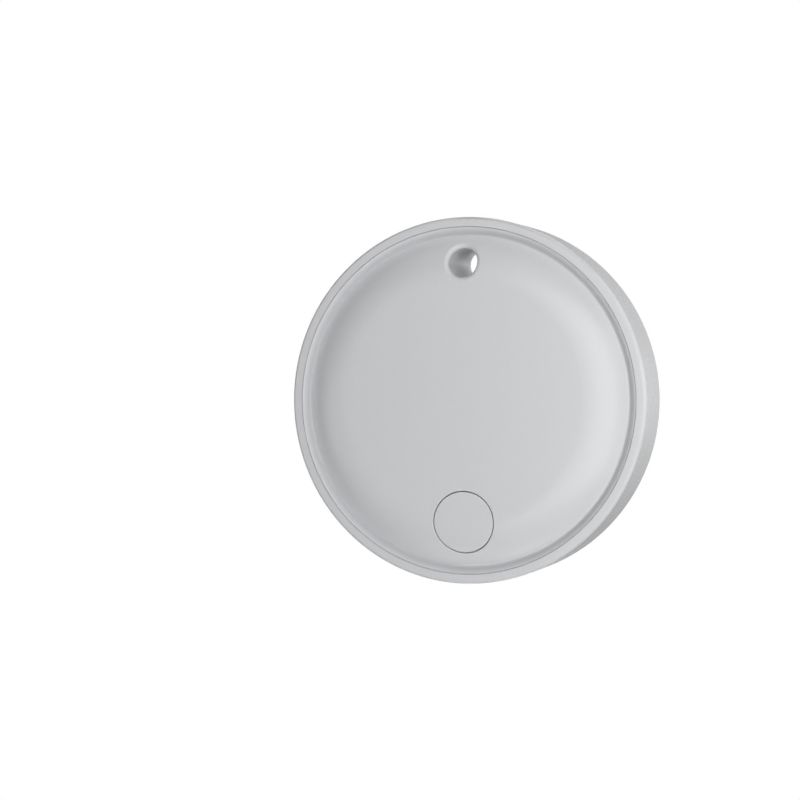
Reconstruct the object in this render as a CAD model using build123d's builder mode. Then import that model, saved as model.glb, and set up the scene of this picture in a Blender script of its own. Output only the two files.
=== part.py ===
"""Bluetooth tracker tag: a round plastic tag with a keyring hole, a front button and a coin cell.

Frame: the tag hangs upright from its keyring hole. The origin is the middle of that hole, +Z is up,
and the front face looks along -Y. Millimetres.

Heights in this file are measured from the rear face towards the front face. Places on the faces are
(x, y) from the tag's centre, seen from the front.
"""

import os
from math import cos, radians, sin, sqrt

from build123d import *

os.makedirs("parts", exist_ok=True)

# ---------------------------------------------------------------- driving dimensions
outer_radius = 18.0
thickness = 8.6  # from the rear plateau to the front plateau
rim_depth = 0.75  # how far each flat rim lies below its plateau
rim_fillet = 0.30
rim_inner_fillet = 0.02
plateau_radius = 12.0  # the faces are flat out to here, then roll off
valley_radius = 16.34  # the roll-off ends here, and a slope climbs back to the rim
valley_depth = 1.51
valley_fillet = 0.25
slope_top_radius = 16.92
slope_top_fillet = 0.15
lip_radius = 17.03  # outer edge of the covers
front_seam = 0.03  # gap between the side ring and the fixed front cover
rear_seam = 0.06  # and the rear cover, which comes off
hairline = 0.03  # gap between faces that close on each other
cover_wall = 0.90

key_y = 13.5
key_radius = 1.45
key_wall_radius = 2.30
key_front_fillet = 0.38
key_rear_fillet = 0.20

button_y = -11.9
button_radius = 2.99
button_gap = 0.09
button_edge_fillet = 0.06
button_travel = 0.25

screw_at = (8.20, 10.35)
recess_radius = 1.80
recess_mouth_fillet = 0.20
head_radius = 1.50
head_top_z = 1.25
head_height = 0.75
shank_radius = 0.95
shank_length = 3.00

cell_radius = 10.0
cell_height = 3.2
cell_bottom_z = 1.20

board_thickness = 0.60
board_bottom_z = 5.00
board_radius = 15.2
board_screw_ring = 13.0
board_screw_angles = (150, 230, 330)

buzzer_at = (0.0, 1.0)
buzzer_radius = 8.0

# ---------------------------------------------------------------- planes and levels
tag_centre = (0, thickness / 2, -key_y)
rear_plane = Plane(origin=tag_centre, x_dir=(1, 0, 0), z_dir=(0, -1, 0))
section_plane = Plane(origin=tag_centre, x_dir=(1, 0, 0), z_dir=(0, 0, -1))
tag_axis = Axis(tag_centre, (0, -1, 0))
button_axis = Axis((0, thickness / 2, button_y - key_y), (0, -1, 0))
flange_inner_radius = 15.7
valley_wall = 0.64
front_flange_depth = 2.50
rear_flange_depth = 2.25
ring_bore_radius = 16.1
gasket_thickness = 0.35
front_ledge_z = thickness - front_flange_depth
rear_ledge_z = rear_flange_depth + gasket_thickness
front_rim_z = thickness - rim_depth
board_top_z = board_bottom_z + board_thickness
cell_top_z = cell_bottom_z + cell_height
front_inner_z = thickness - cover_wall
boss_split_z = rear_ledge_z  # rear cover bosses end here and the front cover's start
head_seat_z = head_top_z + head_height
above = 2.0  # how far cutting shapes run past the faces
same = 0.01  # edges are picked by their radius, to within this


def front_level(depth):
    """Height of a point this far below the front plateau."""
    return thickness - depth


def rear_level(depth):
    """Height of a point this far inside the rear plateau."""
    return depth


def front_buried_level(depth):
    """Height of a point half a wall deeper than that, where the front bosses end."""
    return front_level(depth + cover_wall / 2)


def rear_buried_level(depth):
    """Height of a point half a wall deeper than that, where the rear bosses end."""
    return rear_level(depth + cover_wall / 2)


def outer_lines(level):
    """Face line of a cover in half section: plateau, roll-off, valley, slope and flat lip."""
    plateau_edge = (plateau_radius, level(0))
    valley = (valley_radius, level(valley_depth))
    Line((0, level(0)), plateau_edge)
    TangentArc(plateau_edge, valley, tangent=(1, 0))
    Polyline(valley, (slope_top_radius, level(rim_depth)), (lip_radius, level(rim_depth)))


def cover_lines(level, flange_depth):
    """Closed half section of a cover: its face line, its flange and its inner face."""
    inner_corner = (flange_inner_radius, level(valley_depth + valley_wall))
    inner_edge = (plateau_radius, level(cover_wall))
    outer_lines(level)
    Polyline(
        (lip_radius, level(rim_depth)),
        (lip_radius, level(flange_depth)),
        (flange_inner_radius, level(flange_depth)),
        inner_corner,
    )
    TangentArc(inner_edge, inner_corner, tangent=(1, 0))
    Polyline(inner_edge, (0, level(cover_wall)), (0, level(0)))


def outside_lines(level):
    """Closed half section of the space outside a cover's face."""
    outer_lines(level)
    Polyline(
        (lip_radius, level(rim_depth)),
        (outer_radius + above, level(rim_depth)),
        (outer_radius + above, level(-above)),
        (0, level(-above)),
        (0, level(0)),
    )


def round_face_corners(section, level):
    """Round the valley and the top of the slope in a cover's half section."""
    for corner, radius in (
        ((valley_radius, level(valley_depth)), valley_fillet),
        ((slope_top_radius, level(rim_depth)), slope_top_fillet),
    ):
        fillet(section.vertices().sort_by_distance(corner)[0], radius=radius)


def at_board_screws():
    """Centres of the three board screws."""
    places = []
    for angle in board_screw_angles:
        turn = radians(angle)
        places.append((board_screw_ring * cos(turn), board_screw_ring * sin(turn)))
    return places


def mouth_edges(part, place, radius, low, high):
    """Edges round the mouth of an upright hole or boss of this radius, between two heights."""
    found = ShapeList()
    for edge in part.edges():
        points = [rear_plane.to_local_coords(edge @ share) for share in (0, 0.3, 0.7)]
        off_circle = [abs(sqrt((p.X - place[0]) ** 2 + (p.Y - place[1]) ** 2) - radius) for p in points]
        if max(off_circle) < same and all(low < p.Z < high for p in points):
            found.append(edge)
    return found


def circles_of(part, radius, low, high):
    """Circular edges of one radius between two heights."""
    found = ShapeList()
    for edge in part.edges().filter_by(GeomType.CIRCLE):
        height = rear_plane.to_local_coords(edge.arc_center).Z
        if abs(edge.radius - radius) < same and low < height < high:
            found.append(edge)
    return found


# ================================================================ shell
with BuildPart() as side_ring:
    with BuildSketch(section_plane):
        with BuildLine():
            Polyline(
                (outer_radius, rim_depth),
                (outer_radius, front_rim_z),
                (lip_radius + front_seam, front_rim_z),
                (lip_radius + front_seam, front_ledge_z),
                (ring_bore_radius, front_ledge_z),
                (ring_bore_radius, rear_ledge_z),
                (lip_radius + rear_seam, rear_ledge_z),
                (lip_radius + rear_seam, rim_depth),
                close=True,
            )
        make_face()
    revolve(axis=tag_axis)
    fillet(circles_of(side_ring, outer_radius, 0, thickness), radius=rim_fillet)
    front_rim = circles_of(side_ring, lip_radius + front_seam, front_rim_z - same, thickness)
    rear_rim = circles_of(side_ring, lip_radius + rear_seam, 0, rim_depth + same)
    fillet(front_rim + rear_rim, radius=rim_inner_fillet)
side_ring.part.label = "side_ring"
export_step(side_ring.part, "parts/side_ring.step")

# The front cover carries the keyring tube, the screw boss, the button's guide and the board's posts.
button_hole_radius = button_radius + button_gap
guide_radius = 3.9
guide_bottom_z = 6.85
flange_pocket_radius = 3.75
insert_boss_radius = 2.2
insert_radius = 1.5
insert_height = 2.5
insert_recess = 0.10
insert_bottom_z = boss_split_z + insert_recess
post_radius = 1.5
board_screw_radius = 0.50
board_screw_hole_depth = 1.2
with BuildPart(rear_plane) as front_cover:
    with BuildSketch(rear_plane.offset(boss_split_z + hairline)):
        with Locations((0, key_y)):
            Circle(key_wall_radius)
    extrude(amount=thickness - boss_split_z)
    with BuildSketch(rear_plane.offset(insert_bottom_z)):
        with Locations(screw_at):
            Circle(insert_boss_radius)
    extrude(amount=thickness - insert_bottom_z)
    with BuildSketch(rear_plane.offset(guide_bottom_z)):
        with Locations((0, button_y)):
            Circle(guide_radius)
    extrude(amount=thickness - guide_bottom_z)
    with BuildSketch(rear_plane.offset(board_top_z)):
        with Locations(at_board_screws()):
            Circle(post_radius)
    extrude(amount=thickness - board_top_z)
    with BuildSketch(section_plane):
        with BuildLine():
            outside_lines(front_buried_level)
        make_face()
    revolve(axis=tag_axis, mode=Mode.SUBTRACT)
    with BuildSketch(section_plane) as front_section:
        with BuildLine():
            cover_lines(front_level, front_flange_depth)
        make_face()
        round_face_corners(front_section, front_level)
    revolve(axis=tag_axis)
    with Locations((0, key_y)):
        Hole(radius=key_radius)
    with BuildSketch(rear_plane.offset(guide_bottom_z)):
        with Locations((0, button_y)):
            Circle(button_hole_radius)
    extrude(amount=above + thickness, mode=Mode.SUBTRACT)
    with BuildSketch(rear_plane.offset(guide_bottom_z)):
        with Locations((0, button_y)):
            Circle(flange_pocket_radius)
    extrude(amount=front_ledge_z - guide_bottom_z, mode=Mode.SUBTRACT)
    with BuildSketch(rear_plane.offset(insert_bottom_z)):
        with Locations(screw_at):
            Circle(insert_radius)
    extrude(amount=insert_height, mode=Mode.SUBTRACT)
    with BuildSketch(rear_plane.offset(board_top_z)):
        with Locations(at_board_screws()):
            Circle(board_screw_radius + hairline)
    extrude(amount=board_screw_hole_depth, mode=Mode.SUBTRACT)
    front_mouth = mouth_edges(front_cover, (0, key_y), key_radius, front_rim_z, thickness + same)
    fillet(front_mouth, radius=key_front_fillet)
    button_mouth = mouth_edges(
        front_cover, (0, button_y), button_hole_radius, front_rim_z, thickness + same
    )
    fillet(button_mouth, radius=button_edge_fillet)
front_cover.part.label = "front_cover"
export_step(front_cover.part, "parts/front_cover.step")

# The rear cover has the keyring hole's rear mouth and the screw's recess, on bosses of its own.
recess_wall_radius = 2.35
shank_hole_radius = 1.10
o_ring_radius = 1.38
o_ring_height = 0.35
seal_groove_inner = 1.66
seal_groove_outer = 2.06
seal_groove_depth = 0.35
with BuildPart(rear_plane) as rear_cover:
    with BuildSketch(rear_plane):
        with Locations((0, key_y)):
            Circle(key_wall_radius)
        with Locations(screw_at):
            Circle(recess_wall_radius)
    extrude(amount=boss_split_z)
    with BuildSketch(section_plane):
        with BuildLine():
            outside_lines(rear_buried_level)
        make_face()
    revolve(axis=tag_axis, mode=Mode.SUBTRACT)
    with BuildSketch(section_plane) as rear_section:
        with BuildLine():
            cover_lines(rear_level, rear_flange_depth)
        make_face()
        round_face_corners(rear_section, rear_level)
    revolve(axis=tag_axis)
    with Locations((0, key_y)):
        Hole(radius=key_radius)
    with Locations(screw_at):
        Hole(radius=shank_hole_radius)
    with BuildSketch(rear_plane.offset(head_seat_z)):
        with Locations(screw_at):
            Circle(recess_radius)
    extrude(amount=-(head_seat_z + above), mode=Mode.SUBTRACT)
    with BuildSketch(rear_plane.offset(head_seat_z)):
        with Locations(screw_at):
            Circle(o_ring_radius)
    extrude(amount=o_ring_height, mode=Mode.SUBTRACT)
    with BuildSketch(rear_plane.offset(boss_split_z)):
        with Locations((0, key_y)):
            Circle(seal_groove_outer)
            Circle(seal_groove_inner, mode=Mode.SUBTRACT)
    extrude(amount=-seal_groove_depth, mode=Mode.SUBTRACT)
    rear_key_mouth = mouth_edges(rear_cover, (0, key_y), key_radius, -same, rim_depth)
    fillet(rear_key_mouth, radius=key_rear_fillet)
    recess_mouth = mouth_edges(rear_cover, screw_at, recess_radius, -same, rim_depth)
    fillet(recess_mouth, radius=recess_mouth_fillet)
rear_cover.part.label = "rear_cover"
export_step(rear_cover.part, "parts/rear_cover.step")

# The button cap is trimmed by the same face as the front cover, and hollow behind.
cap_flange_radius = 3.60
cap_flange_height = 0.30
cap_flange_top_z = guide_bottom_z - hairline
cap_flange_bottom_z = cap_flange_top_z - cap_flange_height
cap_post_radius = 0.65
cap_pocket_radius = 2.15
cap_pocket_top_z = 7.20
plunger_top_z = 6.40
with BuildPart() as button_cap:
    with BuildSketch(rear_plane.offset(cap_flange_bottom_z)):
        with Locations((0, button_y)):
            Circle(button_radius)
    extrude(amount=thickness - cap_flange_bottom_z)
    with BuildSketch(section_plane):
        with BuildLine():
            outside_lines(front_level)
        make_face()
    revolve(axis=tag_axis, mode=Mode.SUBTRACT)
    cap_edge = mouth_edges(button_cap, (0, button_y), button_radius, front_rim_z, thickness + same)
    fillet(cap_edge, radius=button_edge_fillet)
    with BuildSketch(rear_plane.offset(cap_flange_bottom_z)):
        with Locations((0, button_y)):
            Circle(cap_flange_radius)
    extrude(amount=cap_flange_height)
    with BuildSketch(rear_plane.offset(cap_flange_bottom_z)):
        with Locations((0, button_y)):
            Circle(cap_pocket_radius)
    extrude(amount=cap_pocket_top_z - cap_flange_bottom_z, mode=Mode.SUBTRACT)
    with BuildSketch(rear_plane.offset(plunger_top_z)):
        with Locations((0, button_y)):
            Circle(cap_post_radius)
    extrude(amount=cap_pocket_top_z - plunger_top_z)
button_cap.part.label = "button_cap"
export_step(button_cap.part, "parts/button_cap.step")

# ================================================================ rear closure
head_edge_fillet = 0.12
drive_depth = 0.50
drive_length = 1.84
drive_width = 0.50
drive_taper = 8
shank_chamfer = 0.25
with BuildPart() as cover_screw:
    with BuildSketch(rear_plane.offset(head_top_z)):
        with Locations(screw_at):
            Circle(head_radius)
    extrude(amount=head_height)
    head_edge = circles_of(cover_screw, head_radius, 0, head_top_z + hairline)
    fillet(head_edge, radius=head_edge_fillet)
    with BuildSketch(rear_plane.offset(head_seat_z)):
        with Locations(screw_at):
            Circle(shank_radius)
    extrude(amount=shank_length)
    shank_end = circles_of(cover_screw, shank_radius, insert_bottom_z, thickness)
    chamfer(shank_end, length=shank_chamfer)
    with BuildSketch(rear_plane.offset(head_top_z)):
        with Locations(screw_at):
            Rectangle(drive_length, drive_width)
            Rectangle(drive_width, drive_length)
    extrude(amount=drive_depth, taper=drive_taper, mode=Mode.SUBTRACT)
cover_screw.part.label = "cover_screw"
export_step(cover_screw.part, "parts/cover_screw.step")

seal_fillet = 0.10
with BuildPart() as screw_seal_ring:
    with BuildSketch(rear_plane.offset(head_seat_z)):
        with Locations(screw_at):
            Circle(o_ring_radius - hairline)
            Circle(shank_radius + hairline, mode=Mode.SUBTRACT)
    extrude(amount=o_ring_height - hairline)
    fillet(screw_seal_ring.edges().filter_by(GeomType.CIRCLE), radius=seal_fillet)
screw_seal_ring.part.label = "screw_seal_ring"
export_step(screw_seal_ring.part, "parts/screw_seal_ring.step")

with BuildPart() as keyring_hole_seal:
    with BuildSketch(rear_plane.offset(boss_split_z + hairline)):
        with Locations((0, key_y)):
            Circle(seal_groove_outer - hairline)
            Circle(seal_groove_inner + hairline, mode=Mode.SUBTRACT)
    extrude(amount=-seal_groove_depth)
    fillet(keyring_hole_seal.edges().filter_by(GeomType.CIRCLE), radius=seal_fillet)
keyring_hole_seal.part.label = "keyring_hole_seal"
export_step(keyring_hole_seal.part, "parts/keyring_hole_seal.step")

knurl_count = 24
knurl_depth = 0.10
insert_bore_radius = shank_radius + hairline
with BuildPart() as threaded_insert:
    with BuildSketch(rear_plane.offset(insert_bottom_z)):
        with Locations(screw_at):
            Circle(insert_radius)
            Circle(insert_bore_radius, mode=Mode.SUBTRACT)
            with PolarLocations(insert_radius, knurl_count):
                Rectangle(2 * knurl_depth, knurl_depth, mode=Mode.SUBTRACT)
    extrude(amount=insert_height)
threaded_insert.part.label = "threaded_insert"
export_step(threaded_insert.part, "parts/threaded_insert.step")

gasket_width = 0.60
gasket_inner_radius = ring_bore_radius + 0.15
with BuildPart() as cover_gasket:
    with BuildSketch(rear_plane.offset(rear_flange_depth)):
        Circle(gasket_inner_radius + gasket_width)
        Circle(gasket_inner_radius, mode=Mode.SUBTRACT)
    extrude(amount=gasket_thickness)
cover_gasket.part.label = "cover_gasket"
export_step(cover_gasket.part, "parts/cover_gasket.step")

pad_radius = 5.0
with BuildPart() as battery_pad:
    with BuildSketch(rear_plane.offset(cover_wall)):
        Circle(pad_radius)
    extrude(amount=cell_bottom_z - cover_wall)
battery_pad.part.label = "battery_pad"
export_step(battery_pad.part, "parts/battery_pad.step")

# ================================================================ coin cell
can_wall = 0.25
can_edge_radius = 0.40
cap_edge_radius = 8.75
cell_gasket_width = 0.45
cell_cap_fillet = 0.30
crimp_drop = 0.30
can_rim_radius = cap_edge_radius + cell_gasket_width
with BuildPart() as cell_can:
    with BuildSketch(section_plane):
        with BuildLine():
            Polyline(
                (0, cell_bottom_z),
                (cell_radius, cell_bottom_z),
                (cell_radius, cell_top_z - crimp_drop),
                (can_rim_radius, cell_top_z - crimp_drop / 2),
                (can_rim_radius, cell_top_z - 2 * crimp_drop),
                (cell_radius - can_wall, cell_top_z - 2 * crimp_drop),
                (cell_radius - can_wall, cell_bottom_z + can_wall),
                (0, cell_bottom_z + can_wall),
                close=True,
            )
        make_face()
    revolve(axis=tag_axis)
    fillet(circles_of(cell_can, cell_radius, 0, cell_bottom_z + hairline), radius=can_edge_radius)
cell_can.part.label = "cell_can"
export_step(cell_can.part, "parts/cell_can.step")

with BuildPart() as cell_gasket:
    with BuildSketch(rear_plane.offset(cell_bottom_z + can_wall)):
        Circle(can_rim_radius)
        Circle(cap_edge_radius, mode=Mode.SUBTRACT)
    extrude(amount=cell_height - can_wall - crimp_drop / 2)
cell_gasket.part.label = "cell_gasket"
export_step(cell_gasket.part, "parts/cell_gasket.step")

with BuildPart() as cell_cap:
    with BuildSketch(rear_plane.offset(cell_bottom_z + can_wall)):
        Circle(cap_edge_radius)
    extrude(amount=cell_height - can_wall)
    cap_rim = circles_of(cell_cap, cap_edge_radius, cell_top_z - hairline, thickness)
    fillet(cap_rim, radius=cell_cap_fillet)
cell_cap.part.label = "cell_cap"
export_step(cell_cap.part, "parts/cell_cap.step")

# ================================================================ inner frame and board
holder_radius = cell_radius + 0.15
holder_wall_radius = 10.75
holder_bottom_z = 1.40
frame_plate_z = 4.50
frame_plate_radius = 15.4
frame_lip_radius = 9.2
notch_gap = 0.20
window_width = 3.2  # gap in the holder wall for the side contact
window_length = 4.0
screw_clear_radius = 0.65
screw_pocket_radius = 1.15
screw_pocket_depth = 0.15
with BuildPart() as inner_frame:
    with BuildSketch(rear_plane.offset(holder_bottom_z)):
        Circle(holder_wall_radius)
        Circle(holder_radius, mode=Mode.SUBTRACT)
    extrude(amount=frame_plate_z - holder_bottom_z)
    with BuildSketch(rear_plane.offset(frame_plate_z)):
        Circle(frame_plate_radius)
        Circle(frame_lip_radius, mode=Mode.SUBTRACT)
        with Locations((0, key_y)):
            Circle(key_wall_radius + notch_gap, mode=Mode.SUBTRACT)
        with Locations(screw_at):
            Circle(insert_boss_radius + notch_gap, mode=Mode.SUBTRACT)
        with Locations(at_board_screws()):
            Circle(screw_clear_radius, mode=Mode.SUBTRACT)
    extrude(amount=board_bottom_z - frame_plate_z)
    with BuildSketch(rear_plane.offset(holder_bottom_z)):
        with Locations((-holder_wall_radius, 0)):
            Rectangle(window_length, window_width)
    extrude(amount=board_bottom_z - holder_bottom_z, mode=Mode.SUBTRACT)
    with BuildSketch(rear_plane.offset(frame_plate_z)):
        with Locations(at_board_screws()):
            Circle(screw_pocket_radius)
    extrude(amount=screw_pocket_depth, mode=Mode.SUBTRACT)
inner_frame.part.label = "inner_frame"
export_step(inner_frame.part, "parts/inner_frame.step")

with BuildPart() as circuit_board:
    with BuildSketch(rear_plane.offset(board_bottom_z)):
        Circle(board_radius)
        with Locations((0, key_y)):
            Circle(key_wall_radius + notch_gap, mode=Mode.SUBTRACT)
        with Locations(screw_at):
            Circle(insert_boss_radius + notch_gap, mode=Mode.SUBTRACT)
        with Locations(at_board_screws()):
            Circle(screw_clear_radius, mode=Mode.SUBTRACT)
    extrude(amount=board_thickness)
circuit_board.part.label = "circuit_board"
export_step(circuit_board.part, "parts/circuit_board.step")

board_head_radius = 1.05
board_head_height = 0.45
board_head_z = frame_plate_z + screw_pocket_depth - board_head_height
board_drive_length = 1.20
board_drive_width = 0.28
board_drive_depth = 0.25
board_thread_grip = 1.0
board_shank_length = board_top_z + board_thread_grip - (board_head_z + board_head_height)
with BuildPart() as board_screws:
    with BuildSketch(rear_plane.offset(board_head_z)):
        with Locations(at_board_screws()):
            Circle(board_head_radius)
    extrude(amount=board_head_height)
    with BuildSketch(rear_plane.offset(board_head_z)):
        with Locations(at_board_screws()):
            Rectangle(board_drive_length, board_drive_width)
            Rectangle(board_drive_width, board_drive_length)
    extrude(amount=board_drive_depth, mode=Mode.SUBTRACT)
    with BuildSketch(rear_plane.offset(board_head_z + board_head_height)):
        with Locations(at_board_screws()):
            Circle(board_screw_radius)
    extrude(amount=board_shank_length)
board_screws.part.label = "board_screws"
export_step(board_screws.part, "parts/board_screws.step")

# ================================================================ cell contacts
sheet = 0.15
leaf_width = 2.4
leaf_root = 1.6  # half width of the soldered middle
leaf_reach = 5.0  # each arm's tip, from the middle
leaf_tip = 0.4
with BuildPart() as battery_negative_contact:
    with BuildSketch(section_plane):
        with BuildLine():
            for side in (-1, 1):
                Polyline(
                    (0, board_bottom_z),
                    (side * leaf_root, board_bottom_z),
                    (side * leaf_reach, cell_top_z + sheet),
                    (side * leaf_reach, cell_top_z),
                    (side * (leaf_reach - leaf_tip), cell_top_z),
                    (side * (leaf_root - sheet), board_bottom_z - sheet),
                    (0, board_bottom_z - sheet),
                )
        make_face()
    extrude(amount=leaf_width / 2, both=True)
battery_negative_contact.part.label = "battery_negative_contact"
export_step(battery_negative_contact.part, "parts/battery_negative_contact.step")

side_contact_width = 2.6
contact_x = -(cell_radius + hairline)  # where the spring touches the cell
contact_touch_z = 2.8
contact_knee_z = 3.9
contact_tip_z = 1.9
contact_spread = 0.40  # how far the spring stands off above and below that
contact_foot = 2.2
with BuildPart() as battery_positive_contact:
    with BuildSketch(section_plane):
        with BuildLine():
            Polyline(
                (contact_x - contact_foot, board_bottom_z),
                (contact_x - contact_foot, board_bottom_z - sheet),
                (contact_x - contact_spread - sheet, board_bottom_z - sheet),
                (contact_x - contact_spread - sheet, contact_knee_z),
                (contact_x - sheet, contact_touch_z),
                (contact_x - contact_spread - sheet, contact_tip_z),
                (contact_x - contact_spread, contact_tip_z),
                (contact_x, contact_touch_z),
                (contact_x - contact_spread, contact_knee_z),
                (contact_x - contact_spread, board_bottom_z),
                close=True,
            )
        make_face()
    extrude(amount=side_contact_width / 2, both=True)
battery_positive_contact.part.label = "battery_positive_contact"
export_step(battery_positive_contact.part, "parts/battery_positive_contact.step")

# ================================================================ parts on the board
column_pitch = 1.5
row_pitch = 1.3


def in_line(start, step, count):
    """Places of small parts in a straight line on the board."""
    return [(start[0] + step[0] * index, start[1] + step[1] * index) for index in range(count)]


capacitor_places = in_line((-4.6, -6.6), (column_pitch, 0), 5)
capacitor_places += in_line((-9.1, 1.2), (0, row_pitch), 3)
resistor_places = in_line((-1.2, 3.4), (column_pitch, 0), 3)
resistor_places += in_line((12.3, -1.2), (0, row_pitch), 4)
# name: places of the centres, length, width, height, chamfer of the front edges
board_parts = {
    "bluetooth_chip": ([(-4.6, -2.4)], 5.0, 5.0, 0.85, 0.08),
    "buzzer_driver_chip": ([(2.2, -3.6)], 3.0, 3.0, 0.75, 0.08),
    "main_crystal": ([(-4.6, 2.0)], 2.0, 1.6, 0.50, 0.05),
    "watch_crystal": ([(-8.6, -5.2)], 1.5, 3.2, 0.80, 0.05),
    "chip_antenna": ([(-13.2, -0.4)], 1.8, 5.2, 1.10, 0.06),
    "boost_inductor": ([(6.4, -4.6)], 3.0, 3.0, 1.10, 0.30),
    "storage_capacitor": ([(9.8, -2.0)], 1.6, 3.2, 1.20, 0.08),
    "board_capacitors": (capacitor_places, 1.0, 0.5, 0.50, 0.05),
    "board_resistors": (resistor_places, 1.0, 0.5, 0.35, 0.04),
}
for board_part, (places, length, width, height, chamfer_size) in board_parts.items():
    with BuildPart() as chips:
        with BuildSketch(rear_plane.offset(board_top_z)):
            with Locations(places):
                Rectangle(length, width)
        extrude(amount=height)
        front_faces = chips.faces().filter_by(Axis.Y).group_by(Axis.Y)[0]
        chamfer(front_faces.edges(), length=chamfer_size)
    chips.part.label = board_part
    export_step(chips.part, f"parts/{board_part}.step")

# ================================================================ buzzer
plate_thickness = 0.20
adhesive_thickness = 0.10
adhesive_width = 1.2
ceramic_radius = 5.5
ceramic_thickness = 0.20
plate_top_z = front_inner_z - adhesive_thickness
plate_bottom_z = plate_top_z - plate_thickness
ceramic_bottom_z = plate_bottom_z - ceramic_thickness
with BuildPart() as buzzer_adhesive_ring:
    with BuildSketch(rear_plane.offset(plate_top_z)):
        with Locations(buzzer_at):
            Circle(buzzer_radius)
            Circle(buzzer_radius - adhesive_width, mode=Mode.SUBTRACT)
    extrude(amount=adhesive_thickness)
buzzer_adhesive_ring.part.label = "buzzer_adhesive_ring"
export_step(buzzer_adhesive_ring.part, "parts/buzzer_adhesive_ring.step")

with BuildPart() as buzzer_plate:
    with BuildSketch(rear_plane.offset(plate_bottom_z)):
        with Locations(buzzer_at):
            Circle(buzzer_radius)
    extrude(amount=plate_thickness)
buzzer_plate.part.label = "buzzer_plate"
export_step(buzzer_plate.part, "parts/buzzer_plate.step")

with BuildPart() as buzzer_ceramic:
    with BuildSketch(rear_plane.offset(ceramic_bottom_z)):
        with Locations(buzzer_at):
            Circle(ceramic_radius)
    extrude(amount=ceramic_thickness)
buzzer_ceramic.part.label = "buzzer_ceramic"
export_step(buzzer_ceramic.part, "parts/buzzer_ceramic.step")

# Two bent leaf springs carry the sound signal: one touches the plate, one the ceramic.
spring_width = 1.2
spring_foot = 1.8
spring_feet = ((5.2, plate_bottom_z), (1.6, ceramic_bottom_z))  # foot x, height it touches at
spring_y = 1.0
spring_rise = 0.60  # from the board to the bend
spring_bend = 0.40  # from the touching level down to the far bend
touch_start = 1.0  # the touching stretch, measured from the foot
touch_end = 1.7
bend_start = 0.4
with BuildPart() as buzzer_springs:
    for foot_x, touch_z in spring_feet:
        with BuildSketch(section_plane.offset(-spring_y)):
            with BuildLine():
                Polyline(
                    (foot_x, board_top_z),
                    (foot_x + spring_foot, board_top_z),
                    (foot_x + spring_foot, board_top_z + spring_rise + sheet / 2),
                    (foot_x + bend_start + sheet, touch_z - spring_bend),
                    (foot_x + touch_start + sheet, touch_z - sheet),
                    (foot_x + touch_end, touch_z - sheet),
                    (foot_x + touch_end, touch_z),
                    (foot_x + touch_start, touch_z),
                    (foot_x + bend_start - sheet / 2, touch_z - spring_bend),
                    (foot_x + spring_foot - sheet, board_top_z + spring_rise),
                    (foot_x + spring_foot - sheet, board_top_z + sheet),
                    (foot_x, board_top_z + sheet),
                    close=True,
                )
            make_face()
        extrude(amount=spring_width / 2, both=True)
buzzer_springs.part.label = "buzzer_springs"
export_step(buzzer_springs.part, "parts/buzzer_springs.step")

# ================================================================ tactile switch under the button
switch_length = 3.6
switch_width = 3.2
switch_wall_height = 0.50
switch_floor = 0.15
switch_well_radius = 1.40
plunger_radius = 0.70
plunger_clearance = 0.05
switch_sheet = 0.08
terminal_length = 0.70
terminal_width = 0.60
terminal_thickness = 0.12
terminal_pitch = 1.90
plunger_foot_radius = 1.00
switch_top_z = board_top_z + switch_wall_height
dome_bottom_z = board_top_z + switch_floor
dome_height = 0.30
dome_radius = 1.30
dome_sheet = 0.05
dome_top_z = dome_bottom_z + dome_height
with BuildPart() as switch_body:
    with BuildSketch(rear_plane.offset(board_top_z)):
        with Locations((0, button_y)):
            Rectangle(switch_length, switch_width)
    extrude(amount=switch_wall_height)
    with BuildSketch(rear_plane.offset(dome_bottom_z)):
        with Locations((0, button_y)):
            Circle(switch_well_radius)
    extrude(amount=switch_wall_height, mode=Mode.SUBTRACT)
switch_body.part.label = "switch_body"
export_step(switch_body.part, "parts/switch_body.step")

with BuildPart() as switch_cover:
    with BuildSketch(rear_plane.offset(switch_top_z)):
        with Locations((0, button_y)):
            Rectangle(switch_length, switch_width)
            Circle(plunger_radius + plunger_clearance, mode=Mode.SUBTRACT)
    extrude(amount=switch_sheet)
switch_cover.part.label = "switch_cover"
export_step(switch_cover.part, "parts/switch_cover.step")

with BuildPart() as switch_terminals:
    with BuildSketch(rear_plane.offset(board_top_z)):
        with Locations((0, button_y)):
            with GridLocations(switch_length + terminal_length, terminal_pitch, 2, 2):
                Rectangle(terminal_length, terminal_width)
    extrude(amount=terminal_thickness)
switch_terminals.part.label = "switch_terminals"
export_step(switch_terminals.part, "parts/switch_terminals.step")

with BuildPart() as switch_plunger:
    with BuildSketch(rear_plane.offset(dome_top_z)):
        with Locations((0, button_y)):
            Circle(plunger_foot_radius)
    extrude(amount=switch_top_z - dome_top_z - hairline / 3)
    with BuildSketch(rear_plane.offset(dome_top_z)):
        with Locations((0, button_y)):
            Circle(plunger_radius)
    extrude(amount=plunger_top_z - dome_top_z)
switch_plunger.part.label = "switch_plunger"
export_step(switch_plunger.part, "parts/switch_plunger.step")

with BuildPart() as switch_dome:
    with BuildSketch(section_plane.offset(-button_y)):
        with BuildLine():
            TangentArc((0, dome_top_z), (dome_radius, dome_bottom_z + dome_sheet), tangent=(1, 0))
            Line((dome_radius, dome_bottom_z + dome_sheet), (dome_radius, dome_bottom_z))
            low_edge = (dome_radius - 2 * dome_sheet, dome_bottom_z)
            Line((dome_radius, dome_bottom_z), low_edge)
            TangentArc((0, dome_top_z - dome_sheet), low_edge, tangent=(1, 0))
            Line((0, dome_top_z - dome_sheet), (0, dome_top_z))
        make_face()
    revolve(axis=button_axis)
switch_dome.part.label = "switch_dome"
export_step(switch_dome.part, "parts/switch_dome.step")
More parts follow.
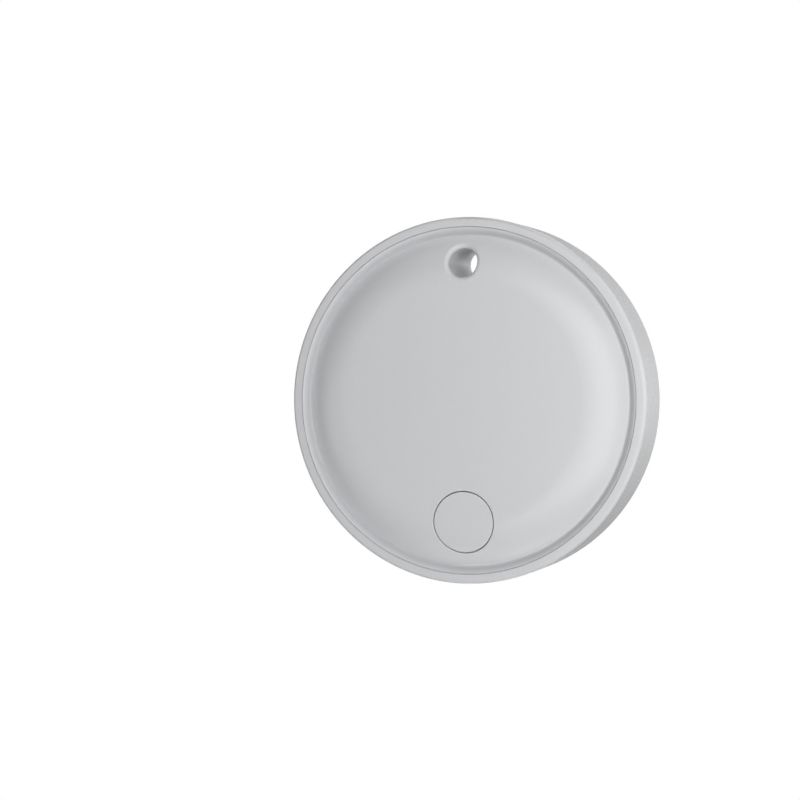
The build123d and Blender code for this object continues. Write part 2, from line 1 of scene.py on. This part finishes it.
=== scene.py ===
"""Looks of the bluetooth tracker tag: its materials, a white studio and the camera."""

import math

import bpy
from mathutils import Matrix, Vector


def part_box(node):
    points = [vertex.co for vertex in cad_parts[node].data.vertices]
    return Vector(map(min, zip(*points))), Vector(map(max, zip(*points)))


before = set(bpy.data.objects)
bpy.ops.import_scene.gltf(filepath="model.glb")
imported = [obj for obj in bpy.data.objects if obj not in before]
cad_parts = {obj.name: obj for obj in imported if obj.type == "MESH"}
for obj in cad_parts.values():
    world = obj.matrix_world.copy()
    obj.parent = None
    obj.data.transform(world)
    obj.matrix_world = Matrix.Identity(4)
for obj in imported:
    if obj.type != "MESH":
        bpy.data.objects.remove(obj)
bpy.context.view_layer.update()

MM = 0.001
ring_low, ring_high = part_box("side_ring")
CENTRE = (ring_low + ring_high) / 2
RIM_CENTRE = Vector((CENTRE.x, ring_low.y, CENTRE.z))  # middle of the front rim
RADIUS = (ring_high.x - ring_low.x) / 2

# ---------------------------------------------------------------- camera
CAMERA_AZIMUTH = 18.3  # 0 is the front, 90 the tag's right
CAMERA_ELEVATION = 0.65
CAMERA_ROLL = -0.4
CAMERA_DISTANCE = 11 * RADIUS
CAMERA_ASIDE = 0.03195 * CAMERA_DISTANCE  # to the left, so that the tag stands right of the middle
CAMERA_RAISED = 0.1 * MM
CAMERA_LENS = 90.9
CAMERA_SENSOR = 36
CAMERA_NEAR = 1 * MM
CAMERA_FAR = 20

# ---------------------------------------------------------------- studio
FLOOR_DROP = 450 * MM
FLOOR_SIZE = 4.0
FLOOR_GREY = 0.5
FLOOR_ROUGHNESS = 0.8
WORLD_BEHIND = 0.30  # brightness of the white room behind the tag
WORLD_IN_FRONT = 0.0
WORLD_TURN = 0.35  # the direction's Y at which the room is as bright as it gets

# name, azimuth (0 is the front, 90 the tag's right), elevation, distance, size, watts
SOFTBOXES = (
    ("key", 20, 0, 0.14, 0.16, 0.128),
    ("right", 44, 0, 0.14, 0.16, 0.048),
    ("upper_right", 30, 35, 0.16, 0.16, 0.025),
    ("fill_upper_left", -33, 49, 0.40, 0.16, 0.060),
    ("fill_lower_left", -37, -53, 0.40, 0.16, 0.080),
    ("left", -52, -5, 0.40, 0.12, 0.045),
    ("below", 15, -69, 0.40, 0.16, 0.130),
    ("edge_upper_right", 100, 42, 0.40, 0.12, 0.320),
    ("edge_right", 93, 0, 0.40, 0.12, 0.160),
    ("back_right", 145, 0, 0.40, 0.16, 0.290),
    ("back_above", 175, 52, 0.40, 0.16, 0.300),
    ("back_below", -175, -45, 0.40, 0.16, 0.700),
)

# ---------------------------------------------------------------- shell
SHELL_WHITE = (0.78, 0.785, 0.80)
# painted shade: the darker colour laid into the groove inside each rim and along the seam
SHELL_PAINTED_SHADE = (0.60, 0.605, 0.63)
SHELL_CLOUD = 0.006  # how far the white strays to either side
SHELL_GRAIN = 0.14 * MM
SHELL_GRAIN_DEPTH = 0.0006 * MM
SHELL_ROUGHNESS = (0.22, 0.28)
# radii where the painted shade in the groove starts, is full, is still full, and ends
GROOVE_PAINTED_SHADE = (16.16 * MM, 16.36 * MM, 16.45 * MM, 16.98 * MM)
SEAM_RADIUS = 17.03 * MM
# painted shade: a fine darker line along the seam between cover and ring, where shade falls in the
# gap
SEAM_PAINTED_SHADE = (0.08 * MM, 0.03 * MM)  # distances from the seam: none, full

# ---------------------------------------------------------------- plastics and rubbers
CLOUD_SIZE = 16 * MM
MOULDED_CLOUD = 0.03  # how far the colour strays to either side
MOULDED_GLOSS = 0.04  # how far the roughness strays to either side

# (name, colour, roughness, size and depth of the grain in mm), nodes
MOULDINGS = (
    (
        ("seal_rubber", (0.018, 0.018, 0.020), 0.55, 0.15, 0.004),
        ("cover_gasket", "screw_seal_ring", "keyring_hole_seal"),
    ),
    (("cell_plastic", (0.30, 0.31, 0.27), 0.40, 0.12, 0.002), ("cell_gasket",)),
    (("frame_plastic", (0.022, 0.022, 0.024), 0.50, 0.10, 0.004), ("inner_frame",)),
    (("adhesive", (0.52, 0.50, 0.44), 0.45, 0.30, 0.006), ("buzzer_adhesive_ring",)),
    (
        ("switch_plastic", (0.030, 0.030, 0.032), 0.42, 0.08, 0.003),
        ("switch_body", "switch_plunger"),
    ),
)

# ---------------------------------------------------------------- metals
STAIN_SIZE = 5 * MM
METAL_STAIN = 0.05
METAL_SMOOTHER = 0.06
METAL_ROUGHER = 0.08
MARK_DEPTH = 0.002 * MM
ALONG_X = (0.1, 1, 1)  # ways of brushing: the marks are long where the factor is small
ALONG_Z = (1, 1, 0.1)
EVEN = (1, 1, 1)

# (name, colour, roughness, node it is turned about or way it is brushed, pitch in mm), nodes
METALS = (
    (("screw_steel", (0.56, 0.56, 0.58), 0.28, "cover_screw", 0.05), ("cover_screw",)),
    (("brass", (0.72, 0.50, 0.22), 0.30, "cover_screw", 0.06), ("threaded_insert",)),
    (("cell_cap_steel", (0.66, 0.66, 0.67), 0.24, "cell_cap", 0.12), ("cell_cap",)),
    (
        ("gold_contact", (0.86, 0.62, 0.26), 0.25, ALONG_X, 0.05),
        ("battery_positive_contact", "battery_negative_contact", "buzzer_springs"),
    ),
    (("board_screw_steel", (0.60, 0.60, 0.62), 0.32, EVEN, 0.08), ("board_screws",)),
    (
        ("crystal_can", (0.68, 0.67, 0.63), 0.30, ALONG_Z, 0.05),
        ("main_crystal", "watch_crystal", "switch_cover", "switch_terminals", "switch_dome"),
    ),
    (("buzzer_brass", (0.74, 0.53, 0.24), 0.30, "buzzer_plate", 0.08), ("buzzer_plate",)),
)

# ---------------------------------------------------------------- coin cell
CELL_STEEL = (0.70, 0.70, 0.71)
CELL_STAIN = 0.04
CELL_ROUGHNESS = (0.20, 0.32)
CELL_RINGS = 0.10 * MM
CELL_RING_SHARE = 0.02  # height of the rings as a share of the sign's
PLUS_UP = 6 * MM  # height of the sign's middle over the cell's
PLUS_HALF_LENGTH = 1.20 * MM
PLUS_HALF_WIDTH = 0.25 * MM
PLUS_EDGE = 0.05 * MM  # half the width of the slope at its edges
PLUS_HEIGHT = 0.05 * MM

# ---------------------------------------------------------------- foam
FOAM_GREY = (0.055, 0.055, 0.06)
FOAM_CLOUD = 0.15
FOAM_CLOUD_SIZE = 3 * MM
FOAM_PORE = 0.30 * MM
FOAM_PORE_DEPTH = 0.05 * MM
FOAM_ROUGHNESS = 0.85

# ---------------------------------------------------------------- circuit board
SOLDER_MASK = (0.010, 0.070, 0.032)
MASK_OVER_COPPER = (0.016, 0.105, 0.048)
HOLE_PLATING = (0.70, 0.55, 0.28)
BOARD_GRAIN = 0.2 * MM
BOARD_ROUGHNESS = (0.30, 0.38)
BOARD_RELIEF = 0.008 * MM
TRACK_PITCH = 0.52 * MM
TRACK_EDGES = (0.10 * MM, 0.08 * MM)  # distances from a track's middle: mask, copper
TURN_ZONE = 5 * MM  # size of the zones in which the tracks run one way
TURN_LEVELS = (0.49, 0.50)  # noise values: upright tracks, level tracks
ROUTED_ZONE = 3 * MM  # size of the zones that have tracks
ROUTED_LEVELS = (0.50, 0.51)  # noise values: bare, with tracks
HOLE_SPACING = 2.6 * MM
HOLE_RANDOMNESS = 0.8
HOLE_EDGES = (0.065, 0.055)  # shares of the spacing: mask, plating

# ---------------------------------------------------------------- parts on the board
EPOXY = (0.030, 0.030, 0.033)
EPOXY_DIMPLE = (0.060, 0.060, 0.065)
EPOXY_GRAIN = 0.08 * MM
EPOXY_GRAIN_SHARE = 0.2  # height of the grain as a share of the dimple's depth
EPOXY_ROUGHNESS = (0.45, 0.60)
DIMPLE_INSET = 0.6 * MM  # from both edges of the corner
DIMPLE_EDGES = (0.24 * MM, 0.20 * MM)  # radii: outside, bottom
DIMPLE_DEPTH = 0.03 * MM

TINNED_END = (0.72, 0.72, 0.70)
END_EDGE = 0.02 * MM  # width of the change from body to tin
SPECKLE = 0.12 * MM
SPECKLE_TINT = 0.10
SPECKLE_DEPTH = 0.01 * MM
SPECKLED_ROUGHNESS = (0.32, 0.48)
SMALL_PART_LENGTH = 1.0 * MM
AXIS_X, AXIS_Z = 0, 2

# node, colour, axis of its length, length of the bare body in mm, pitch in mm if it is a row
END_PLATED = (
    ("chip_antenna", (0.80, 0.79, 0.75), AXIS_Z, 4.2, None),
    ("storage_capacitor", (0.50, 0.33, 0.12), AXIS_Z, 2.2, None),
    ("board_capacitors", (0.42, 0.30, 0.18), AXIS_X, 0.5, 1.5),
    ("board_resistors", (0.025, 0.025, 0.028), AXIS_X, 0.5, 1.5),
)

# ---------------------------------------------------------------- sounder
SILVERED = (0.72, 0.71, 0.68)
SILVER_METALLIC = 0.7
SILVER_WEAVE = 0.25 * MM
SILVER_TINT = 0.08
SILVER_ROUGHNESS = (0.42, 0.60)
SILVER_DEPTH = 0.01 * MM

# ---------------------------------------------------------------- nodes
NOISE_LOW, NOISE_HIGH = 0.3, 0.7  # most of a noise's values lie between these
MIX_FIRST, MIX_SECOND, MIX_RESULT = 6, 7, 2  # the Mix node's colour sockets


# ================================================================ camera
def make_camera():
    azimuth = math.radians(CAMERA_AZIMUTH)
    elevation = math.radians(CAMERA_ELEVATION)
    level = math.cos(elevation)
    back = Vector((math.sin(azimuth) * level, -math.cos(azimuth) * level, math.sin(elevation)))
    right = Vector((math.cos(azimuth), math.sin(azimuth), 0))
    data = bpy.data.cameras.new("camera")
    data.lens = CAMERA_LENS
    data.sensor_width = CAMERA_SENSOR
    data.clip_start = CAMERA_NEAR
    data.clip_end = CAMERA_FAR
    camera = bpy.data.objects.new("camera", data)
    bpy.context.scene.collection.objects.link(camera)
    camera.location = RIM_CENTRE + back * CAMERA_DISTANCE - right * CAMERA_ASIDE
    camera.location.z += CAMERA_RAISED
    turn = (-back).to_track_quat("-Z", "Y").to_matrix().to_4x4()
    roll = Matrix.Rotation(math.radians(CAMERA_ROLL), 4, "Z")
    camera.matrix_world = Matrix.Translation(camera.location) @ turn @ roll
    bpy.context.scene.camera = camera


# ================================================================ node building
def centre_of(node):
    """Middle of a CAD node's box."""
    low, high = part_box(node)
    return (low + high) / 2


def new_material(name):
    material = bpy.data.materials.new(name)
    material.use_nodes = True
    return material, material.node_tree, material.node_tree.nodes["Principled BSDF"]


def place(tree, centre=(0, 0, 0)):
    """Position in the tag's frame, measured from a centre."""
    where = tree.nodes.new("ShaderNodeTexCoord")
    shift = tree.nodes.new("ShaderNodeVectorMath")
    shift.operation = "SUBTRACT"
    shift.inputs[1].default_value = tuple(centre)
    tree.links.new(where.outputs["Object"], shift.inputs[0])
    return shift.outputs["Vector"]


def stretch(tree, where, factors):
    """The position scaled per axis, so that marks run along the axis with the small factor."""
    node = tree.nodes.new("ShaderNodeVectorMath")
    node.operation = "MULTIPLY"
    node.inputs[1].default_value = factors
    tree.links.new(where, node.inputs[0])
    return node.outputs["Vector"]


def noise(tree, where, size, detail):
    """Soft noise with features of this size."""
    texture = tree.nodes.new("ShaderNodeTexNoise")
    texture.inputs["Scale"].default_value = 1 / size
    texture.inputs["Detail"].default_value = detail
    tree.links.new(where, texture.inputs["Vector"])
    return texture.outputs["Fac"]


def ring_noise(tree, centre, pitch):
    """Noise in rings about the line along Y through a centre."""
    texture = tree.nodes.new("ShaderNodeTexNoise")
    texture.noise_dimensions = "1D"
    texture.inputs["Scale"].default_value = 1 / pitch
    texture.inputs["Detail"].default_value = 3
    tree.links.new(off_axis(tree, place(tree, centre)), texture.inputs["W"])
    return texture.outputs["Fac"]


def cells(tree, where, size, randomness=1.0):
    """Distance to the nearest of scattered points, as a share of their spacing."""
    texture = tree.nodes.new("ShaderNodeTexVoronoi")
    texture.inputs["Scale"].default_value = 1 / size
    texture.inputs["Randomness"].default_value = randomness
    tree.links.new(where, texture.inputs["Vector"])
    return texture.outputs["Distance"]


def math_node(tree, operation, first, second=None, third=None):
    node = tree.nodes.new("ShaderNodeMath")
    node.operation = operation
    for socket, value in zip(node.inputs, (first, second, third)):
        if isinstance(value, bpy.types.NodeSocket):
            tree.links.new(value, socket)
        elif value is not None:
            socket.default_value = value
    return node.outputs["Value"]


def absolute(tree, value):
    return math_node(tree, "ABSOLUTE", value)


def parts_of(tree, where):
    """x, y and z of a position."""
    node = tree.nodes.new("ShaderNodeSeparateXYZ")
    tree.links.new(where, node.inputs[0])
    return node.outputs["X"], node.outputs["Y"], node.outputs["Z"]


def off_axis(tree, where):
    """Distance from the line along Y through the centre."""
    x, _, z = parts_of(tree, where)
    x_squared = math_node(tree, "MULTIPLY", x, x)
    z_squared = math_node(tree, "MULTIPLY", z, z)
    return math_node(tree, "SQRT", math_node(tree, "ADD", x_squared, z_squared))


def fade(tree, value, start, end):
    """0 at the start value and 1 at the end value."""
    node = tree.nodes.new("ShaderNodeMapRange")
    node.interpolation_type = "SMOOTHSTEP"
    node.inputs["From Min"].default_value = start
    node.inputs["From Max"].default_value = end
    tree.links.new(value, node.inputs["Value"])
    return node.outputs["Result"]


def spread(tree, value, low, high):
    """Map noise to a range."""
    node = tree.nodes.new("ShaderNodeMapRange")
    node.inputs["From Min"].default_value = NOISE_LOW
    node.inputs["From Max"].default_value = NOISE_HIGH
    node.inputs["To Min"].default_value = low
    node.inputs["To Max"].default_value = high
    tree.links.new(value, node.inputs["Value"])
    return node.outputs["Result"]


def blend_colours(tree, share, first, second):
    """The first colour where the share is 0 and the second where it is 1."""
    node = tree.nodes.new("ShaderNodeMix")
    node.data_type = "RGBA"
    for socket, colour in ((node.inputs[MIX_FIRST], first), (node.inputs[MIX_SECOND], second)):
        if isinstance(colour, bpy.types.NodeSocket):
            tree.links.new(colour, socket)
        else:
            socket.default_value = (*colour, 1)
    tree.links.new(share, node.inputs[0])
    return node.outputs[MIX_RESULT]


def tint(tree, value, colour, change):
    """The colour, lightened and darkened a little where the value says."""
    darker = [c * (1 - change) for c in colour]
    lighter = [min(1, c * (1 + change)) for c in colour]
    return blend_colours(tree, value, darker, lighter)


def relief(tree, shader, height, depth):
    """Raise the surface by this depth where the height is 1."""
    node = tree.nodes.new("ShaderNodeBump")
    node.inputs["Distance"].default_value = depth
    tree.links.new(height, node.inputs["Height"])
    tree.links.new(node.outputs["Normal"], shader.inputs["Normal"])


def dress(tree, shader, colour, roughness, height, depth):
    """Give the shader its colour, its roughness and its relief."""
    tree.links.new(colour, shader.inputs["Base Color"])
    tree.links.new(roughness, shader.inputs["Roughness"])
    relief(tree, shader, height, depth)


# ================================================================ materials
def shell_plastic():
    """Satin white plastic, with painted shade darkening the groove inside each rim and a fine
    painted shade line along the seam.
    """
    material, tree, shader = new_material("shell_plastic")
    where = place(tree)
    ring = off_axis(tree, place(tree, CENTRE))
    # painted shade: the colour darkens in the groove inside each rim and along the seam, where
    # shade falls
    inner_start, inner_end, outer_end, outer_start = GROOVE_PAINTED_SHADE
    inner = fade(tree, ring, inner_start, inner_end)
    outer = fade(tree, ring, outer_start, outer_end)
    from_seam = absolute(tree, math_node(tree, "SUBTRACT", ring, SEAM_RADIUS))
    seam = fade(tree, from_seam, *SEAM_PAINTED_SHADE)
    shade = math_node(tree, "MAXIMUM", math_node(tree, "MULTIPLY", inner, outer), seam)
    white = tint(tree, noise(tree, where, CLOUD_SIZE, detail=3), SHELL_WHITE, SHELL_CLOUD)
    grain = noise(tree, where, SHELL_GRAIN, detail=2)
    colour = blend_colours(tree, shade, white, SHELL_PAINTED_SHADE)
    dress(tree, shader, colour, spread(tree, grain, *SHELL_ROUGHNESS), grain, SHELL_GRAIN_DEPTH)
    return material


def moulded(name, colour, roughness, grain_mm, depth_mm):
    """Moulded plastic or rubber: an even colour, a fine grain and a slightly uneven gloss."""
    material, tree, shader = new_material(name)
    where = place(tree)
    shade = tint(tree, noise(tree, where, CLOUD_SIZE, detail=3), colour, MOULDED_CLOUD)
    grain = noise(tree, where, grain_mm * MM, detail=2)
    gloss = spread(tree, grain, roughness - MOULDED_GLOSS, roughness + MOULDED_GLOSS)
    dress(tree, shader, shade, gloss, grain, depth_mm * MM)
    return material


def metal(name, colour, roughness, marked, pitch_mm):
    """Bare metal, turned about the middle of a node or brushed."""
    material, tree, shader = new_material(name)
    shader.inputs["Metallic"].default_value = 1.0
    if isinstance(marked, str):
        line = ring_noise(tree, centre_of(marked), pitch_mm * MM)
    else:
        line = noise(tree, stretch(tree, place(tree), marked), pitch_mm * MM, detail=3)
    shade = tint(tree, noise(tree, place(tree), STAIN_SIZE, detail=3), colour, METAL_STAIN)
    gloss = spread(tree, line, roughness - METAL_SMOOTHER, roughness + METAL_ROUGHER)
    dress(tree, shader, shade, gloss, line, MARK_DEPTH)
    return material


def within(tree, value, half):
    """1 inside a stroke of the plus sign, which reaches this far to either side, and 0 outside."""
    return fade(tree, absolute(tree, value), half + PLUS_EDGE, half - PLUS_EDGE)


def cell_steel():
    """Nickel-plated can with turned rings and a pressed plus sign on its flat."""
    centre = centre_of("cell_can")
    material, tree, shader = new_material("cell_steel")
    shader.inputs["Metallic"].default_value = 1.0
    line = ring_noise(tree, centre, CELL_RINGS)
    x, _, z = parts_of(tree, place(tree, centre + Vector((0, 0, PLUS_UP))))
    arms = []
    for along, across in ((x, z), (z, x)):
        length = within(tree, along, PLUS_HALF_LENGTH)
        width = within(tree, across, PLUS_HALF_WIDTH)
        arms.append(math_node(tree, "MULTIPLY", length, width))
    plus = math_node(tree, "MAXIMUM", arms[0], arms[1])
    height = math_node(tree, "MULTIPLY_ADD", line, CELL_RING_SHARE, plus)
    stain = noise(tree, place(tree, centre), STAIN_SIZE, detail=3)
    shade = tint(tree, stain, CELL_STEEL, CELL_STAIN)
    dress(tree, shader, shade, spread(tree, line, *CELL_ROUGHNESS), height, PLUS_HEIGHT)
    return material


def foam():
    """Dark foam with fine pores."""
    material, tree, shader = new_material("foam")
    where = place(tree)
    pores = cells(tree, where, FOAM_PORE)
    shade = tint(tree, noise(tree, where, FOAM_CLOUD_SIZE, detail=3), FOAM_GREY, FOAM_CLOUD)
    tree.links.new(shade, shader.inputs["Base Color"])
    shader.inputs["Roughness"].default_value = FOAM_ROUGHNESS
    relief(tree, shader, pores, FOAM_PORE_DEPTH)
    return material


def board_laminate():
    """Green solder mask over runs of parallel copper tracks, with small plated holes."""
    material, tree, shader = new_material("board")
    where = stretch(tree, place(tree), (1, 0, 1))
    x, _, z = parts_of(tree, where)
    runs = []
    for value in (x, z):
        away = absolute(tree, math_node(tree, "WRAP", value, TRACK_PITCH / 2, -TRACK_PITCH / 2))
        runs.append(fade(tree, away, *TRACK_EDGES))
    upright, level = runs
    zone = fade(tree, noise(tree, where, TURN_ZONE, detail=0), *TURN_LEVELS)
    routed = fade(tree, noise(tree, where, ROUTED_ZONE, detail=0), *ROUTED_LEVELS)
    turned = math_node(tree, "SUBTRACT", level, upright)
    either = math_node(tree, "MULTIPLY_ADD", zone, turned, upright)
    track = math_node(tree, "MULTIPLY", routed, either)
    hole = fade(tree, cells(tree, where, HOLE_SPACING, HOLE_RANDOMNESS), *HOLE_EDGES)
    mask = blend_colours(tree, track, SOLDER_MASK, MASK_OVER_COPPER)
    shade = blend_colours(tree, hole, mask, HOLE_PLATING)
    tree.links.new(hole, shader.inputs["Metallic"])
    gloss = spread(tree, noise(tree, where, BOARD_GRAIN, detail=2), *BOARD_ROUGHNESS)
    dress(tree, shader, shade, gloss, math_node(tree, "ADD", track, hole), BOARD_RELIEF)
    return material


def chip_plastic(name):
    """Dark moulded epoxy. A dimple marks the first pin's corner."""
    low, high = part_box(name)
    material, tree, shader = new_material(name)
    grain = noise(tree, place(tree), EPOXY_GRAIN, detail=3)
    corner = Vector((low.x + DIMPLE_INSET, 0, high.z - DIMPLE_INSET))
    dimple = fade(tree, off_axis(tree, place(tree, corner)), *DIMPLE_EDGES)
    shade = blend_colours(tree, dimple, EPOXY, EPOXY_DIMPLE)
    rough = math_node(tree, "MULTIPLY", grain, EPOXY_GRAIN_SHARE)
    height = math_node(tree, "SUBTRACT", rough, dimple)
    dress(tree, shader, shade, spread(tree, grain, *EPOXY_ROUGHNESS), height, DIMPLE_DEPTH)
    return material


def inductor_ferrite():
    """The same dark body as a chip's, without a dimple."""
    material, tree, shader = new_material("inductor_ferrite")
    grain = noise(tree, place(tree), EPOXY_GRAIN, detail=3)
    shader.inputs["Base Color"].default_value = (*EPOXY, 1)
    tree.links.new(spread(tree, grain, *EPOXY_ROUGHNESS), shader.inputs["Roughness"])
    relief(tree, shader, math_node(tree, "MULTIPLY", grain, EPOXY_GRAIN_SHARE), DIMPLE_DEPTH)
    return material


def end_plated(node, colour, axis, body_mm, pitch_mm):
    """Ceramic body with tinned ends. A row of small parts repeats at its pitch."""
    low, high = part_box(node)
    material, tree, shader = new_material(node)
    middle = low[axis] + SMALL_PART_LENGTH / 2 if pitch_mm else (low[axis] + high[axis]) / 2
    away = math_node(tree, "SUBTRACT", parts_of(tree, place(tree))[axis], middle)
    if pitch_mm:
        half_pitch = pitch_mm * MM / 2
        away = math_node(tree, "WRAP", away, half_pitch, -half_pitch)
    bare = body_mm * MM / 2
    ends = fade(tree, absolute(tree, away), bare, bare + END_EDGE)
    speckle = noise(tree, place(tree), SPECKLE, detail=3)
    shade = blend_colours(tree, ends, tint(tree, speckle, colour, SPECKLE_TINT), TINNED_END)
    tree.links.new(ends, shader.inputs["Metallic"])
    dress(tree, shader, shade, spread(tree, speckle, *SPECKLED_ROUGHNESS), speckle, SPECKLE_DEPTH)
    return material


def silvered_ceramic():
    """The silver electrode printed on the sounder's ceramic."""
    material, tree, shader = new_material("piezo_ceramic")
    shader.inputs["Metallic"].default_value = SILVER_METALLIC
    weave = noise(tree, place(tree), SILVER_WEAVE, detail=4)
    shade = tint(tree, weave, SILVERED, SILVER_TINT)
    dress(tree, shader, shade, spread(tree, weave, *SILVER_ROUGHNESS), weave, SILVER_DEPTH)
    return material


# ================================================================ studio
def white_to_the_camera(tree, seen_by_others):
    """Pure white where the camera looks straight at it, and this shader for all other light."""
    white = tree.nodes.new("ShaderNodeEmission")
    white.inputs["Strength"].default_value = 1.0
    path = tree.nodes.new("ShaderNodeLightPath")
    mix = tree.nodes.new("ShaderNodeMixShader")
    tree.links.new(path.outputs["Is Camera Ray"], mix.inputs["Fac"])
    tree.links.new(seen_by_others, mix.inputs[1])
    tree.links.new(white.outputs["Emission"], mix.inputs[2])
    return mix.outputs["Shader"]


def make_floor():
    """A pale floor far below the tag, which hangs free."""
    mesh = bpy.data.meshes.new("floor")
    half = FLOOR_SIZE / 2
    z = ring_low.z - FLOOR_DROP
    corners = [(-half, -half, z), (half, -half, z), (half, half, z), (-half, half, z)]
    mesh.from_pydata(corners, [], [(0, 1, 2, 3)])
    floor = bpy.data.objects.new("floor", mesh)
    bpy.context.scene.collection.objects.link(floor)
    material, tree, shader = new_material("floor_white")
    shader.inputs["Base Color"].default_value = (FLOOR_GREY, FLOOR_GREY, FLOOR_GREY, 1)
    shader.inputs["Roughness"].default_value = FLOOR_ROUGHNESS
    output = tree.nodes["Material Output"]
    tree.links.new(white_to_the_camera(tree, shader.outputs["BSDF"]), output.inputs["Surface"])
    mesh.materials.append(material)


def make_world():
    """A white room behind the tag that darkens towards the viewer's side."""
    world = bpy.data.worlds.new("studio")
    bpy.context.scene.world = world
    world.use_nodes = True
    tree = world.node_tree
    direction = tree.nodes.new("ShaderNodeTexCoord")
    room = tree.nodes.new("ShaderNodeMapRange")
    room.inputs["From Max"].default_value = WORLD_TURN
    room.inputs["To Min"].default_value = WORLD_IN_FRONT
    room.inputs["To Max"].default_value = WORLD_BEHIND
    _, backwards, _ = parts_of(tree, direction.outputs["Generated"])
    tree.links.new(backwards, room.inputs["Value"])
    fill = tree.nodes["Background"]
    fill.inputs["Color"].default_value = (1, 1, 1, 1)
    tree.links.new(room.outputs["Result"], fill.inputs["Strength"])
    output = tree.nodes["World Output"]
    tree.links.new(white_to_the_camera(tree, fill.outputs["Background"]), output.inputs["Surface"])


def softbox(name, azimuth, elevation, distance, size, watts):
    """A square light that looks at the tag's middle."""
    data = bpy.data.lights.new(name, "AREA")
    data.shape = "SQUARE"
    data.size = size
    data.energy = watts
    light = bpy.data.objects.new(name, data)
    bpy.context.scene.collection.objects.link(light)
    turn, lift = math.radians(azimuth), math.radians(elevation)
    level = math.cos(lift)
    aim = Vector((math.sin(turn) * level, -math.cos(turn) * level, math.sin(lift)))
    light.location = CENTRE + aim * distance
    light.rotation_mode = "QUATERNION"
    light.rotation_quaternion = (-aim).to_track_quat("-Z", "Y")
    light.visible_camera = False


# ================================================================ the tag
def paint(material, *nodes):
    for node in nodes:
        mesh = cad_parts[node].data
        mesh.materials.clear()
        mesh.materials.append(material)


def paint_tag():
    paint(shell_plastic(), "side_ring", "front_cover", "rear_cover", "button_cap")
    for looks, nodes in MOULDINGS:
        paint(moulded(*looks), *nodes)
    for looks, nodes in METALS:
        paint(metal(*looks), *nodes)
    for looks in END_PLATED:
        paint(end_plated(*looks), looks[0])
    for chip in ("bluetooth_chip", "buzzer_driver_chip"):
        paint(chip_plastic(chip), chip)
    paint(inductor_ferrite(), "boost_inductor")
    paint(board_laminate(), "circuit_board")
    paint(silvered_ceramic(), "buzzer_ceramic")
    paint(cell_steel(), "cell_can")
    paint(foam(), "battery_pad")


make_camera()
make_world()
make_floor()
for settings in SOFTBOXES:
    softbox(*settings)
bpy.context.scene.view_settings.view_transform = "Standard"
paint_tag()
